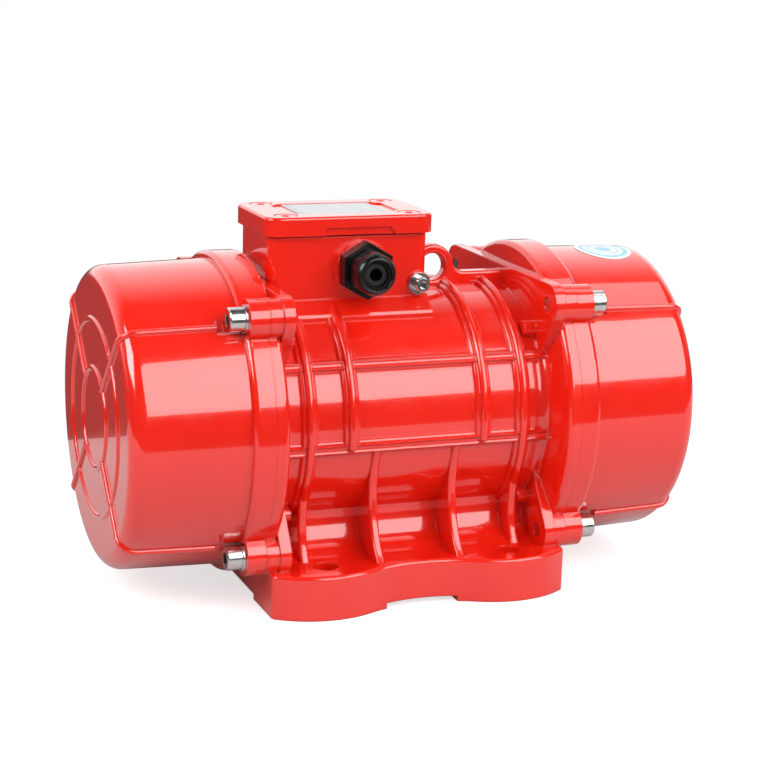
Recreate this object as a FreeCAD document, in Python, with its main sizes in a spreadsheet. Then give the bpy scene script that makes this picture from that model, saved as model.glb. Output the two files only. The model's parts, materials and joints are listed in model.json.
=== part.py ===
"""Foot-mounted three-phase vibration motor, 105 x 140 mm bolt pattern.

X runs along the shaft, Y across it and Z up. The origin lies on the mounting
plane, at the centre of the four foot holes. All sizes are in millimetres.
Pieces of the shaft line are drawn about the X axis and lifted to the shaft
height by their Placement. The left-hand ones are turned half a turn about Z.
"""
import FreeCAD, Part
import Sketcher
import math
import os
import re

Vector = FreeCAD.Vector

# Sizes that can be set by themselves.
DIMENSIONS = {
    # mounting foot
    "hole_spacing_along": 105.0,
    "hole_spacing_across": 140.0,
    "foot_hole_radius": 6.5,
    "foot_thickness": 24.0,
    "foot_end_margin": 31.5,
    "foot_side_margin": 17.5,
    "foot_waist_depth": 12.0,
    "foot_lobe_radius": 50.0,
    "foot_relief": 3.0,
    "pad_reach_along": 32.0,
    "pad_reach_across": 26.0,
    # barrel and its end flanges
    "ground_gap": 7.5,
    "half_length": 86.1,
    "barrel_radius": 64.0,
    "stator_wall": 6.0,
    "spigot_wall": 4.0,
    "recess_margin": 14.0,
    "flange_wall": 13.0,
    "flange_thickness": 9.1,
    "end_plate_thickness": 4.0,
    "recess_depth": 6.1,
    "shield_screw_margin": 7.0,
    "ear_overhang": 2.5197,
    "ear_radius": 10.6,
    "cover_screw_radius": 4.0,
    # casting ribs and webs
    "rib_height": 5.5,
    "rib_half_width": 2.2,
    "rib_flare": 2.4,
    "rib_end_gap": 12.0,
    "rib_pitch": 23.3,
    "inner_web_place": 22.9,
    "inner_web_inset": 3.8,
    "inner_web_rise": 36.0,
    "outer_web_inset": 7.8,
    "outer_web_rise": 19.0,
    "outer_web_spread": 6.0,
    "upper_rib_angle": 31.5,
    "lower_rib_angle": -7.5,
    "ring_rib_sweep": 195.0,
    # terminal box
    "box_end_gap": 0.8,
    "box_half_length": 45.2,
    "box_half_width": 27.0,
    "box_corner": 7.0,
    "box_wall": 5.0,
    "box_floor_rise": 3.0,
    "box_depth": 31.0,
    "lid_overhang_along": 2.4,
    "lid_overhang_across": 3.0,
    "lid_thickness": 10.2,
    "gasket_thickness": 0.8,
    "lid_screw_radius": 2.5,
    "lid_screw_inset_along": 10.2,
    "lid_screw_inset_across": 5.4,
    "recess_inset_along": 3.0,
    "recess_inset_across": 3.1,
    # lifting eye
    "eye_gap": 12.3,
    "eye_rise": 3.2,
    "eye_hole_radius": 7.5,
    "eye_radius": 12.7,
    "crest_rise": 7.8,
    "crest_thickness": 8.0,
    # end covers
    "cover_ear_thickness": 10.3,
    "cover_flange_thickness": 11.5,
    "cover_length": 62.4,
    "cover_step": 4.0,
    "cover_taper": 1.6,
    "cover_edge": 9.0,
    "cover_wall": 4.5,
    "outer_ring_inset": 28.4,
    "ring_pitch": 26.0,
    "bead_radius": 1.7,
    # shaft line
    "stator_depth": 24.4,
    "air_gap": 0.4,
    "winding_room": 27.0,
    "rotor_bore": 16.0,
    "bearing_bore": 12.5,
    "bearing_outside": 31.0,
    "bearing_width": 17.0,
    "bearing_depth": 26.1,
    "ball_radius": 5.75,
    "weight_seat_radius": 11.0,
    "weight_clearance": 6.0,
    "weight_hub_radius": 21.0,
    "weight_thickness": 22.0,
    "weight_gap": 4.9,
    "weight_bolt_radius": 4.0,
    "shaft_overhang": 4.0,
    # cable gland and earth screw
    "gland_shift": 7.0,
    "gland_rise": 13.2,
    "gland_thread_radius": 10.0,
    "gland_across_flats": 24.0,
    "cable_radius": 3.5,
    "earth_inset": 5.6,
    "earth_rise": 4.0,
    # fits
    "fit": 0.03,
}

# Sizes and places that follow from them.
TIED = {
    "foot_half_length": "hole_spacing_along / 2 + foot_end_margin",
    "foot_lobe_half_width": "hole_spacing_across / 2 + foot_side_margin",
    "foot_waist_half_width": "foot_lobe_half_width - foot_waist_depth",
    "relief_half_length": "hole_spacing_along / 2 - pad_reach_along",
    "relief_half_width": "hole_spacing_across / 2 - pad_reach_across",
    "stator_radius": "barrel_radius - stator_wall",
    "spigot_radius": "barrel_radius - spigot_wall",
    "recess_radius": "spigot_radius + recess_margin",
    "flange_radius": "recess_radius + flange_wall",
    "axis_height": "flange_radius + ground_gap",
    "rib_radius": "barrel_radius + rib_height",
    "flange_face": "half_length - flange_thickness",
    "plate_face": "flange_face - end_plate_thickness",
    "shield_seat": "half_length - recess_depth",
    "shield_screw_ring": "spigot_radius + shield_screw_margin",
    "ear_offset": "(flange_radius + ear_overhang) / sqrt(2)",
    "outer_rib_place": "plate_face - rib_end_gap",
    "inner_rib_place": "outer_rib_place - rib_pitch",
    "box_place": "box_half_length + box_end_gap - plate_face",
    "box_floor": "axis_height + barrel_radius + box_floor_rise",
    "box_rim": "box_floor + box_depth",
    "lid_half_length": "box_half_length + lid_overhang_along",
    "lid_half_width": "box_half_width + lid_overhang_across",
    "lid_screw_along": "box_half_length - lid_screw_inset_along",
    "lid_screw_across": "box_half_width - lid_screw_inset_across",
    "recess_half_length": "lid_screw_along - recess_inset_along",
    "recess_half_width": "lid_screw_across - recess_inset_across",
    "crest_height": "axis_height + barrel_radius + crest_rise",
    "eye_place": "box_place + box_half_length + eye_gap",
    "eye_height": "crest_height + eye_rise",
    "cover_ear_face": "half_length + cover_ear_thickness",
    "cover_flange": "half_length + cover_flange_thickness",
    "cover_end": "cover_flange + cover_length",
    "cover_radius": "flange_radius - cover_step",
    "cover_end_radius": "cover_radius - cover_taper",
    "outer_ring_radius": "cover_end_radius - outer_ring_inset",
    "inner_ring_radius": "outer_ring_radius - ring_pitch",
    "bearing_place": "half_length - bearing_depth",
    "stator_half_length": "bearing_place - winding_room",
    "rotor_radius": "stator_radius - stator_depth",
    "ball_pitch_radius": "(bearing_bore + bearing_outside) / 2",
    "weight_radius": "recess_radius - weight_clearance",
    "weight_place": "half_length + weight_gap",
    "shaft_end": "weight_place + 2 * weight_thickness + shaft_overhang",
    "gland_place": "box_place + gland_shift",
    "gland_height": "box_floor + gland_rise",
    "earth_place": "box_place + box_half_length - earth_inset",
    "earth_height": "box_floor + earth_rise",
}

doc = FreeCAD.newDocument("vibration_motor")
sheet = doc.addObject("Spreadsheet::Sheet", "Dims")
cells = dict(DIMENSIONS)
cells.update({alias: "=" + text for alias, text in TIED.items()})
for row, (alias, content) in enumerate(cells.items(), start=1):
    sheet.set("A%d" % row, alias.replace("_", " "))
    sheet.set("B%d" % row, str(content))
    sheet.setAlias("B%d" % row, alias)
doc.recompute()

parts = []


# ---------------------------------------------------------------- helpers
def formula(text):
    """Turn plain dimension names into references to the sheet."""
    def reference(match):
        word = match.group(0)
        return "Dims." + word if word in cells else word
    return re.sub(r"[a-z_]+", reference, str(text))


def size(text):
    """Value of a formula in millimetres."""
    return float(sheet.evalExpression(formula(text)))


def bind(thing, path, text):
    """Tie one property of an object to the sheet."""
    thing.setExpression(path, formula(text))


def register(thing, label):
    """Name a finished piece and queue it for writing."""
    thing.Label = label
    parts.append(thing)
    return thing


def new_body(label):
    body = doc.addObject("PartDesign::Body", label)
    return register(body, label)


def origin(body, role):
    return next(item for item in body.Origin.OriginFeatures if item.Role == role)


def new_sketch(body, name, plane, along="0", up="0", right="0", turn="0"):
    """Sketch on an origin plane, shifted along its normal and in the plane."""
    sketch = body.newObject("Sketcher::SketchObject", name)
    sketch.AttachmentSupport = (origin(body, plane), [""])
    sketch.MapMode = "FlatFace"
    for axis, text in (("x", right), ("y", up), ("z", along)):
        if text != "0":
            bind(sketch, "AttachmentOffset.Base." + axis, text)
    if turn != "0":
        sketch.AttachmentOffset = FreeCAD.Placement(
            Vector(0, 0, 0), FreeCAD.Rotation(Vector(0, 0, 1), size(turn)))
        bind(sketch, "AttachmentOffset.Rotation.Angle", turn)
    doc.recompute()
    return sketch


def fix_point(sketch, geometry, position, across, up):
    """Dimension one sketch point from the sketch origin, through the sheet."""
    rules = (("DistanceX", -2, across), ("DistanceY", -1, up))
    for kind, axis, text in rules:
        value = size(text)
        if abs(value) < 1e-9:
            sketch.addConstraint(Sketcher.Constraint("PointOnObject", geometry, position, axis))
        else:
            index = sketch.addConstraint(
                Sketcher.Constraint(kind, -1, 1, geometry, position, value))
            sketch.setExpression("Constraints[%d]" % index, formula(text))


def arc_between(start, end, radius, side):
    """Arc from start to end that bulges to the given side of the chord (1 left, -1 right)."""
    chord = end - start
    middle = (start + end) * 0.5
    normal = Vector(-chord.y, chord.x, 0) / chord.Length
    rise = math.sqrt(max(radius ** 2 - (chord.Length / 2) ** 2, 0.0))
    centre = middle - normal * (rise * side)
    first = math.atan2(start.y - centre.y, start.x - centre.x)
    last = math.atan2(end.y - centre.y, end.x - centre.x)
    if side > 0:
        first, last = last, first
    circle = Part.Circle(centre, Vector(0, 0, 1), radius)
    return Part.ArcOfCircle(circle, first, last)


def outline(sketch, points, closed=True):
    """Chain of lines and arcs. A point is (x, y), or (x, y, radius, side) where an arc follows."""
    places = [Vector(size(point[0]), size(point[1]), 0) for point in points]
    count = len(points) if closed else len(points) - 1
    first_geometry = sketch.GeometryCount
    ends = []
    for index in range(count):
        point = points[index]
        start = places[index]
        end = places[(index + 1) % len(points)]
        if len(point) == 2:
            geometry = sketch.addGeometry(Part.LineSegment(start, end), False)
            ends.append((geometry, 1, 2))
        else:
            radius, side = point[2], point[3]
            geometry = sketch.addGeometry(arc_between(start, end, size(radius), side), False)
            ends.append((geometry, 2, 1) if side > 0 else (geometry, 1, 2))
            index_radius = sketch.addConstraint(Sketcher.Constraint("Radius", geometry, size(radius)))
            sketch.setExpression("Constraints[%d]" % index_radius, formula(radius))
    for index in range(count):
        geometry, start, end = ends[index]
        fix_point(sketch, geometry, start, points[index][0], points[index][1])
        if index + 1 < count or closed:
            following = ends[(index + 1) % count]
            sketch.addConstraint(Sketcher.Constraint("Coincident", geometry, end, following[0], following[1]))
    if not closed:
        geometry, start, end = ends[-1]
        fix_point(sketch, geometry, end, points[-1][0], points[-1][1])
    return first_geometry


def mirrored(points):
    """Continue a chain with its own reflection in the sketch's vertical axis."""
    reflected = []
    for index in range(len(points) - 1, -1, -1):
        point = points[index]
        place = ("-(%s)" % point[0], point[1])
        if index > 0 and len(points[index - 1]) == 4:
            place += tuple(points[index - 1][2:])
        reflected.append(place)
    return list(points) + reflected


def circle(sketch, across, up, radius):
    centre = Vector(size(across), size(up), 0)
    geometry = sketch.addGeometry(Part.Circle(centre, Vector(0, 0, 1), size(radius)), False)
    index = sketch.addConstraint(Sketcher.Constraint("Radius", geometry, size(radius)))
    sketch.setExpression("Constraints[%d]" % index, formula(radius))
    fix_point(sketch, geometry, 3, across, up)


def corners(sketch, across, up, radius):
    """The same circle at all four sign combinations of a place."""
    for sign_across in ("", "-"):
        for sign_up in ("", "-"):
            circle(sketch, "%s(%s)" % (sign_across, across), "%s(%s)" % (sign_up, up), radius)


def rounded_box(sketch, centre, half_length, half_width, corner):
    """Rounded rectangle centred on the sketch's horizontal axis."""
    right, left = "%s + %s" % (centre, half_length), "%s - (%s)" % (centre, half_length)
    outline(sketch, [
        ("%s - (%s)" % (right, corner), "-(%s)" % half_width, corner, -1),
        (right, "-(%s) + %s" % (half_width, corner)),
        (right, "%s - (%s)" % (half_width, corner), corner, -1),
        ("%s - (%s)" % (right, corner), half_width),
        ("%s + %s" % (left, corner), half_width, corner, -1),
        (left, "%s - (%s)" % (half_width, corner)),
        (left, "-(%s) + %s" % (half_width, corner), corner, -1),
        ("%s + %s" % (left, corner), "-(%s)" % half_width)])


def pad(body, name, sketch, length, symmetric=False, reverse=False, kind="PartDesign::Pad"):
    feature = body.newObject(kind, name)
    feature.Profile = sketch
    feature.SideType = "Symmetric" if symmetric else "One side"
    feature.Reversed = reverse
    feature.Refine = False
    bind(feature, "Length", length)
    doc.recompute()
    return feature


def pocket(body, name, sketch, length, symmetric=False, reverse=False):
    return pad(body, name, sketch, length, symmetric, reverse, "PartDesign::Pocket")


def spin(body, name, sketch, angle="360", kind="PartDesign::Revolution"):
    """Turn a profile about the sketch's horizontal axis."""
    feature = body.newObject(kind, name)
    feature.Profile = sketch
    feature.ReferenceAxis = (sketch, ["H_Axis"])
    feature.Refine = False
    if angle != "360":
        bind(feature, "Angle", angle)
        feature.Midplane = True
    doc.recompute()
    return feature


def mirror(body, name, features, plane):
    feature = body.newObject("PartDesign::Mirrored", name)
    feature.Originals = features
    feature.Refine = False
    feature.MirrorPlane = (origin(body, plane), [""])
    body.Tip = feature
    doc.recompute()
    return feature


def fillet(body, name, radius, wanted):
    """Round those edges of the body so far that a test accepts."""
    base = body.Tip
    names = ["Edge%d" % (index + 1) for index, edge in enumerate(base.Shape.Edges) if wanted(edge)]
    feature = body.newObject("PartDesign::Fillet", name)
    feature.Base = (base, names)
    feature.Refine = False
    bind(feature, "Radius", radius)
    doc.recompute()
    return feature


def level(edge, axis):
    """Coordinate that all of an edge shares along one axis, or None."""
    box = edge.BoundBox
    spans = {"x": (box.XMin, box.XMax), "y": (box.YMin, box.YMax), "z": (box.ZMin, box.ZMax)}
    low, high = spans[axis]
    return (low + high) / 2 if high - low < 1e-3 else None


def near(value, text):
    """Whether a coordinate agrees with a formula."""
    return value is not None and abs(value - size(text)) < 1e-2


def polar(body, name, features, count):
    """Repeat features evenly about the X axis."""
    feature = body.newObject("PartDesign::PolarPattern", name)
    feature.Originals = features
    feature.Refine = False
    feature.Axis = (origin(body, "X_Axis"), [""])
    feature.Angle = 360
    feature.Occurrences = count
    body.Tip = feature
    doc.recompute()
    return feature


def on_axis(body, left=False, lean=0):
    """Lift a piece drawn about the X axis to the shaft height, leaning by an angle about it."""
    turn = FreeCAD.Rotation(Vector(0, 0, 1), 180 if left else 0)
    turn = turn.multiply(FreeCAD.Rotation(Vector(1, 0, 0), lean))
    body.Placement = FreeCAD.Placement(Vector(0, 0, 0), turn)
    bind(body, "Placement.Base.z", "axis_height")
    doc.recompute()
    return body


def turned(body, name, points, up="0", angle="360", kind="PartDesign::Revolution"):
    """Profile of (x, radius) points turned about a line parallel to X."""
    sketch = new_sketch(body, name + "_profile", "XZ_Plane", up=up)
    outline(sketch, points)
    return spin(body, name, sketch, angle, kind)


def revolved(label, points, left=False, lean=0):
    """Whole body turned about the shaft axis."""
    body = new_body(label)
    turned(body, label + "_ring", points)
    return on_axis(body, left, lean)


def hexagon(sketch, across, up, flats, start=0):
    """Hexagon given by its width across flats, with one corner at a start angle."""
    points = []
    for index in range(6):
        angle = 60 * index + start
        points.append(("%s + (%s) / sqrt(3) * cos(%d deg)" % (across, flats, angle),
                       "%s + (%s) / sqrt(3) * sin(%d deg)" % (up, flats, angle)))
    outline(sketch, points)


def cap_screw(body, name, seat, up, radius, length, head_radius, head_height, socket, count):
    """Ring of socket-head screws pointing along -X, their heads seated at a given x."""
    blank = turned(body, name + "_blank", [
        ("%s - %s" % (seat, length), "0"), ("%s - %s" % (seat, length), "%s - 0.6" % radius),
        ("%s - %s + 0.6" % (seat, length), radius), (seat, radius), (seat, head_radius),
        ("%s + %s - 0.6" % (seat, head_height), head_radius),
        ("%s + %s" % (seat, head_height), "%s - 0.6" % head_radius),
        ("%s + %s" % (seat, head_height), "0")], up)
    end = "%s + %s" % (seat, head_height)
    sketch = new_sketch(body, name + "_socket_outline", "YZ_Plane", along=end, up=up)
    hexagon(sketch, "0", "0", socket)
    hollow = pocket(body, name + "_socket", sketch, "%s * 0.55" % head_height)
    if count > 1:
        polar(body, name + "_ring", [blank, hollow], count)


# ---------------------------------------------------------------- housing casting
def rib_section(place):
    """Rib with a round crest and flared roots, as (distance along, distance out) from the barrel's axis."""
    root, top = "barrel_radius - 1", "rib_radius - rib_half_width"
    foot = "rib_half_width + rib_flare"
    rise = "barrel_radius + rib_flare"
    return [
        ("%s - (%s)" % (place, foot), root),
        ("%s - (%s)" % (place, foot), "barrel_radius", "rib_flare", 1),
        ("%s - rib_half_width" % place, rise),
        ("%s - rib_half_width" % place, top, "rib_half_width * 1.1", 1),
        ("%s + rib_half_width" % place, top), ("%s + rib_half_width" % place, rise, "rib_flare", 1),
        ("%s + %s" % (place, foot), "barrel_radius"), ("%s + %s" % (place, foot), root)]


def four_sided(points):
    """Close a front-left quarter outline by reflecting it in both axes."""
    half = list(points)
    for index in range(len(points) - 1, -1, -1):
        arc = tuple(points[index - 1][2:]) if index > 0 else ()
        half.append(("-(%s)" % points[index][0], points[index][1]) + arc)
    rear = []
    for index in range(len(half) - 1, -1, -1):
        arc = tuple(half[index - 1][2:]) if index > 0 else ()
        rear.append((half[index][0], "-(%s)" % half[index][1]) + arc)
    return half + rear


def make_foot(body):
    """Plate with two lobes on each long side, joined by hollows that run smoothly into them."""
    lobe_x, drop = "(hole_spacing_along / 2)", "(foot_lobe_half_width - foot_waist_half_width)"
    reach = "((%s ^ 2 + %s ^ 2) / (2 * %s))" % (lobe_x, drop, drop)
    lobe_y = "(foot_lobe_half_width - foot_lobe_radius)"
    end_y = "(%s + sqrt(foot_lobe_radius ^ 2 - (foot_half_length - %s) ^ 2))" % (lobe_y, lobe_x)
    meet_x = "(%s - foot_lobe_radius * %s / %s)" % (lobe_x, lobe_x, reach)
    meet_y = "(%s + foot_lobe_radius * (%s - %s) / %s)" % (lobe_y, reach, drop, reach)
    hollow = "(%s - foot_lobe_radius)" % reach
    sketch = new_sketch(body, "foot_outline", "XY_Plane")
    outline(sketch, four_sided([
        ("-(foot_half_length)", "-(%s)" % end_y, "foot_lobe_radius", -1),
        ("-(%s)" % meet_x, "-(%s)" % meet_y, hollow, 1)]))
    pad(body, "foot_plate", sketch, "foot_thickness")
    fillet(body, "foot_corners", "4", lambda edge: level(edge, "x") is not None
           and level(edge, "y") is not None and abs(level(edge, "x")) > size("foot_half_length") - 1)
    fillet(body, "foot_rim", "2", lambda edge: near(level(edge, "z"), "foot_thickness"))


def make_webs(body):
    """Webs from the lower rib down to the plate, front and rear in one section."""
    upper_radii = []
    for name, place, inset, rise_name, spread in (
            ("inner", "inner_web_place", "inner_web_inset", "inner_web_rise",
             "(foot_waist_half_width + 0.1 - barrel_radius + inner_web_inset)"),
            ("outer", "outer_rib_place", "outer_web_inset", "outer_web_rise", "outer_web_spread")):
        waist, waist_height = "(barrel_radius - %s)" % inset, "(foot_thickness + %s)" % rise_name
        foot_drop = "(%s - foot_thickness)" % waist_height
        lower = "((%s ^ 2 + %s ^ 2) / (2 * %s))" % (spread, foot_drop, spread)
        top, rise = "(rib_radius * 0.945)", "(axis_height - rib_radius * 0.155 - %s)" % waist_height
        upper = "((({0} - {1}) ^ 2 + {2} ^ 2) / (2 * ({0} - {1})))".format(top, waist, rise)
        upper_radii.append(size(upper))
        for side, sign in (("right", ""), ("left", "-")):
            label = "%s_%s_web" % (side, name)
            sketch = new_sketch(body, label + "_section", "YZ_Plane", along=sign + place)
            outline(sketch, mirrored([
                ("-(barrel_radius * 0.4)", "foot_thickness - 4"),
                ("-(%s + %s)" % (waist, spread), "foot_thickness - 4"),
                ("-(%s + %s)" % (waist, spread), "foot_thickness", lower, -1),
                ("-(%s)" % waist, waist_height, upper, -1),
                ("-(%s)" % top, "axis_height - rib_radius * 0.155"),
                ("-(barrel_radius * 0.9)", "axis_height - rib_radius * 0.1"),
                ("-(barrel_radius * 0.4)", "axis_height - barrel_radius * 0.6")]))
            pad(body, label, sketch, "2 * rib_half_width + 0.6", symmetric=True)
    fillet(body, "web_edges", "1.6", lambda edge: edge.Curve.TypeId == "Part::GeomCircle"
           and level(edge, "x") is not None and any(abs(edge.Curve.Radius - r) < 0.01 for r in upper_radii))


def make_crest(body):
    """Plate along the top of the barrel with the lifting eye."""
    low = "axis_height + barrel_radius * 0.8"
    sketch = new_sketch(body, "crest_outline", "XZ_Plane")
    outline(sketch, [
        ("box_place + box_half_length - 4", low), ("flange_face + 1", low),
        ("flange_face + 1", "crest_height"),
        ("eye_place + eye_radius + 6", "crest_height", "7", 1),
        ("eye_place + eye_radius * 0.96", "eye_height + 3.5", "eye_radius", -1),
        ("eye_place - eye_radius * 0.96", "eye_height + 3.5", "7", 1),
        ("box_place + box_half_length - 4", "crest_height")])
    pad(body, "crest_plate", sketch, "crest_thickness", symmetric=True)
    sketch = new_sketch(body, "eye_circle", "XZ_Plane")
    circle(sketch, "eye_place", "eye_height", "eye_hole_radius")
    pocket(body, "eye_hole", sketch, "3 * crest_thickness", symmetric=True)
    fillet(body, "crest_edges", "1.8", lambda edge: level(edge, "y") is not None
           and edge.BoundBox.ZMax > size("crest_height") - 0.1
           and edge.BoundBox.ZMin > size("crest_height") - 5 - size("eye_radius")
           and edge.BoundBox.XMin > size("box_place + box_half_length") - 5
           and not near(level(edge, "x"), "flange_face + 1")
           and not near(level(edge, "x"), "box_place + box_half_length - 4"))


def make_housing():
    body = new_body("housing")
    make_foot(body)
    make_webs(body)
    make_crest(body)

    sketch = new_sketch(body, "barrel_profile", "XZ_Plane", up="axis_height")
    outline(sketch, mirrored([
        ("-(half_length)", "0"), ("-(half_length)", "flange_radius"),
        ("-(flange_face + 4.5)", "flange_radius", "3", 1),
        ("-(flange_face + 1.5)", "flange_radius - 3"),
        ("-(flange_face)", "barrel_radius + 6", "6", -1),
        ("-(flange_face - 6)", "barrel_radius")]))
    spin(body, "barrel", sketch)

    # two full ring ribs, and two that end at the lower longitudinal rib
    for name, place, sweep in (("outer", "outer_rib_place", "360"),
                               ("inner", "inner_rib_place", "ring_rib_sweep")):
        for side, sign in (("right", ""), ("left", "-")):
            label = "%s_%s_ring_rib" % (side, name)
            sketch = new_sketch(body, label + "_section", "XZ_Plane", up="axis_height")
            outline(sketch, rib_section(sign + place))
            spin(body, label, sketch, sweep)

    # pedestal that carries the barrel on the plate
    sketch = new_sketch(body, "pedestal_section", "YZ_Plane")
    outline(sketch, mirrored([
        ("-(barrel_radius * 0.66 + 20)", "foot_thickness - 2"),
        ("-(barrel_radius * 0.66 + 20)", "foot_thickness", "20", -1),
        ("-(barrel_radius * 0.66)", "foot_thickness + 20"),
        ("-(barrel_radius * 0.66)", "foot_thickness + 24"),
        ("-(barrel_radius * 0.2)", "axis_height - barrel_radius * 0.7")]))
    pad(body, "pedestal", sketch, "2 * plate_face", symmetric=True)

    # longitudinal ribs
    for name, angle in (("upper", "upper_rib_angle"), ("lower", "lower_rib_angle")):
        sketch = new_sketch(body, name + "_rib_section", "YZ_Plane", up="axis_height", turn="-(%s)" % angle)
        outline(sketch, [("-(%s)" % out, along) + ((point[0], -point[1]) if point else ())
                         for along, out, *point in rib_section("0")])
        rib = pad(body, name + "_rib", sketch, "2 * flange_face", symmetric=True)
        mirror(body, name + "_ribs", [rib], "XZ_Plane")

    # end plates whose corners carry the cover screws, and the screw ears
    sketch = new_sketch(body, "end_plate_outline", "YZ_Plane", along="flange_face + 2", up="axis_height")
    lobe = "(ear_radius + 1)"
    edge, root = "(ear_offset + %s)" % lobe, "-(barrel_radius * 0.885)"
    side_y, side_z = "-(ear_offset + %s * 0.813)" % lobe, "(ear_offset - %s * 0.582)" % lobe
    outline(sketch, mirrored([
        ("-(ear_offset)", "-(%s)" % edge, lobe + " * 1.001", 1),
        (side_y, "-(%s)" % side_z),
        (root, "-(barrel_radius * 0.531)"),
        (root, "barrel_radius * 0.531"),
        (side_y, side_z, lobe + " * 1.001", 1),
        ("-(ear_offset)", edge)]))
    plate = pad(body, "end_plate", sketch, "flange_face - plate_face + 2", reverse=True)
    sketch = new_sketch(body, "ear_circles", "YZ_Plane", along="plate_face", up="axis_height")
    corners(sketch, "ear_offset", "ear_offset", "ear_radius")
    ears = pad(body, "ears", sketch, "half_length - plate_face")
    sketch = new_sketch(body, "shield_boss_circles", "YZ_Plane", along="plate_face - 7", up="axis_height")
    corners(sketch, "shield_screw_ring / sqrt(2)", "shield_screw_ring / sqrt(2)", "4.2")
    bosses = pad(body, "shield_bosses", sketch, "8")
    mirror(body, "end_plates", [plate, ears, bosses], "YZ_Plane")

    # terminal box with a sloping skirt onto the barrel
    sketch = new_sketch(body, "box_outline", "XY_Plane", along="axis_height + 20")
    rounded_box(sketch, "box_place", "box_half_length", "box_half_width", "box_corner")
    pad(body, "box_walls", sketch, "box_rim - axis_height - 20")
    sketch = new_sketch(body, "skirt_section", "YZ_Plane", along="box_place + 3")
    outline(sketch, mirrored([
        ("-(box_half_width + 8.5)", "axis_height + 30"),
        ("-(box_half_width + 8.5)", "box_floor - 11"),
        ("-(box_half_width + 7.5)", "box_floor - 9.5"),
        ("-(box_half_width - 1)", "box_floor - 2")]))
    pad(body, "box_skirt", sketch, "2 * box_half_length - 6", symmetric=True)

    # pads for the gland and the earth screw on the front wall
    for name, place, height, radius, proud in (
            ("gland_pad", "gland_place", "gland_height", "gland_across_flats / 2 + 3", "1.5"),
            ("earth_pad", "earth_place", "earth_height", "6.6", "0.8")):
        sketch = new_sketch(body, name + "_circle", "XZ_Plane", along="box_half_width + " + proud)
        circle(sketch, place, height, radius)
        pad(body, name, sketch, proud + " + 2", reverse=True)

    # bore, shield spigots and cover recesses, both ends in one profile
    sketch = new_sketch(body, "bore_profile", "XZ_Plane", up="axis_height")
    outline(sketch, mirrored([
        ("-(half_length + 1)", "0"), ("-(half_length + 1)", "recess_radius"),
        ("-(shield_seat)", "recess_radius"), ("-(shield_seat)", "spigot_radius"),
        ("-(stator_half_length + 1)", "spigot_radius"),
        ("-(stator_half_length + 1)", "stator_radius")]))
    spin(body, "bore", sketch, kind="PartDesign::Groove")
    for side, sign in (("right", ""), ("left", "-")):
        sketch = new_sketch(body, side + "_seal_groove_section", "XZ_Plane", up="axis_height")
        outline(sketch, [
            (sign + "(half_length - 2.4)", "recess_radius + 4.7"),
            (sign + "(half_length + 1)", "recess_radius + 4.7"),
            (sign + "(half_length + 1)", "recess_radius + 7.3"),
            (sign + "(half_length - 2.4)", "recess_radius + 7.3")])
        spin(body, side + "_seal_groove", sketch, kind="PartDesign::Groove")

    # inside of the terminal box, with a post in each corner for the lid screws
    sketch = new_sketch(body, "box_inside", "XY_Plane", along="box_rim")
    long, short = "box_half_length - box_wall", "box_half_width - box_wall"
    post = "8.5"
    centre = "box_place"
    outline(sketch, [
        ("%s - (%s)" % (centre, long), "-((%s) - (%s))" % (short, post)),
        ("%s - ((%s) - (%s))" % (centre, long, post), "-((%s) - (%s))" % (short, post)),
        ("%s - ((%s) - (%s))" % (centre, long, post), "-(%s)" % short),
        ("%s + ((%s) - (%s))" % (centre, long, post), "-(%s)" % short),
        ("%s + ((%s) - (%s))" % (centre, long, post), "-((%s) - (%s))" % (short, post)),
        ("%s + (%s)" % (centre, long), "-((%s) - (%s))" % (short, post)),
        ("%s + (%s)" % (centre, long), "(%s) - (%s)" % (short, post)),
        ("%s + ((%s) - (%s))" % (centre, long, post), "(%s) - (%s)" % (short, post)),
        ("%s + ((%s) - (%s))" % (centre, long, post), short),
        ("%s - ((%s) - (%s))" % (centre, long, post), short),
        ("%s - ((%s) - (%s))" % (centre, long, post), "(%s) - (%s)" % (short, post)),
        ("%s - (%s)" % (centre, long), "(%s) - (%s)" % (short, post))])
    pocket(body, "box_chamber", sketch, "box_rim - box_floor")
    sketch = new_sketch(body, "lead_duct_circle", "XY_Plane", along="box_floor", right="box_place")
    circle(sketch, "22", "0", "6")
    pocket(body, "lead_duct", sketch, "box_floor - axis_height - stator_radius * 0.8")
    sketch = new_sketch(body, "lid_screw_circles", "XY_Plane", along="box_rim", right="box_place")
    corners(sketch, "lid_screw_along", "lid_screw_across", "lid_screw_radius + fit")
    pocket(body, "lid_screw_holes", sketch, "14")

    # holes in the front wall
    for name, place, height, radius, depth in (
            ("gland_hole", "gland_place", "gland_height", "gland_thread_radius", "box_wall + 4"),
            ("earth_hole", "earth_place", "earth_height", "2.5", "9")):
        sketch = new_sketch(body, name + "_circle", "XZ_Plane", along="box_half_width + 2")
        circle(sketch, place, height, radius)
        pocket(body, name, sketch, depth)

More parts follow.
